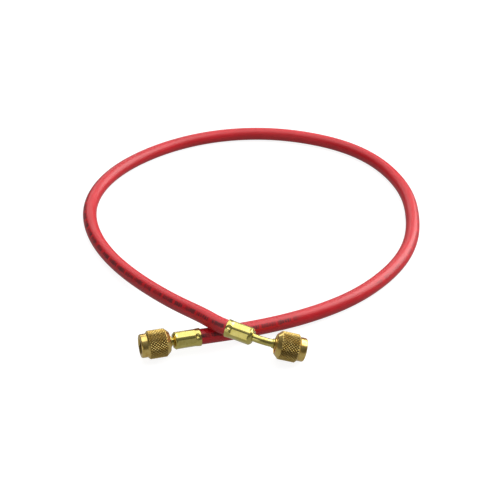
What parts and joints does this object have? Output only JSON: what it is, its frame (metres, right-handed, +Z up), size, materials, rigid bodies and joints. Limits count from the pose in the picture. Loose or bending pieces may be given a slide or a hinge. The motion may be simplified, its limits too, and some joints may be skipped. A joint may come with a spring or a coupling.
{
  "type": "refrigerant charging hose",
  "caption": "Red rubber charging hose lying in one loop, with a crimped ferrule and a knurled brass swivel nut at each end, one neck straight and one slightly bent.",
  "frame": {"origin": "on the floor, at the middle of the two end fittings", "axes": "+X runs from the straight end's nut towards the bent end's nut, +Y from the fittings into the loop of hose, and +Z up from the floor"},
  "size_m": [0.2615, 0.3083, 0.0247],
  "materials": {
    "red_hose": "smooth semi-gloss red rubber cover with a faint dark lay line",
    "plated_brass": "bright yellow-plated, crimped",
    "nut_brass": "machined brass, knurled barrel, turned nose",
    "seal_rubber": "matt black moulded rubber"
  },
  "bodies": {
    "hose_assembly": {"hose": "red_hose", "straight_ferrule": "plated_brass", "bent_ferrule": "plated_brass", "straight_stem": "plated_brass", "bent_stem": "plated_brass", "straight_gasket": "seal_rubber", "bent_gasket": "seal_rubber", "core_depressor": "nut_brass"},
    "straight_nut": {"straight_swivel_nut": "nut_brass"},
    "bent_nut": {"bent_swivel_nut": "nut_brass"}
  },
  "joints": [
    {"name": "straight_nut_swivel", "type": "hinge", "parent": "hose_assembly", "child": "straight_nut", "pos_m": [-0.04252, -0.00015, 0.00965], "axis": [-0.9582, -0.2838, 0.0349], "continuous": true},
    {"name": "bent_nut_swivel", "type": "hinge", "parent": "hose_assembly", "child": "bent_nut", "pos_m": [0.04256, -0.00426, 0.0106], "axis": [0.9636, 0.0031, -0.2675], "continuous": true}
  ]
}
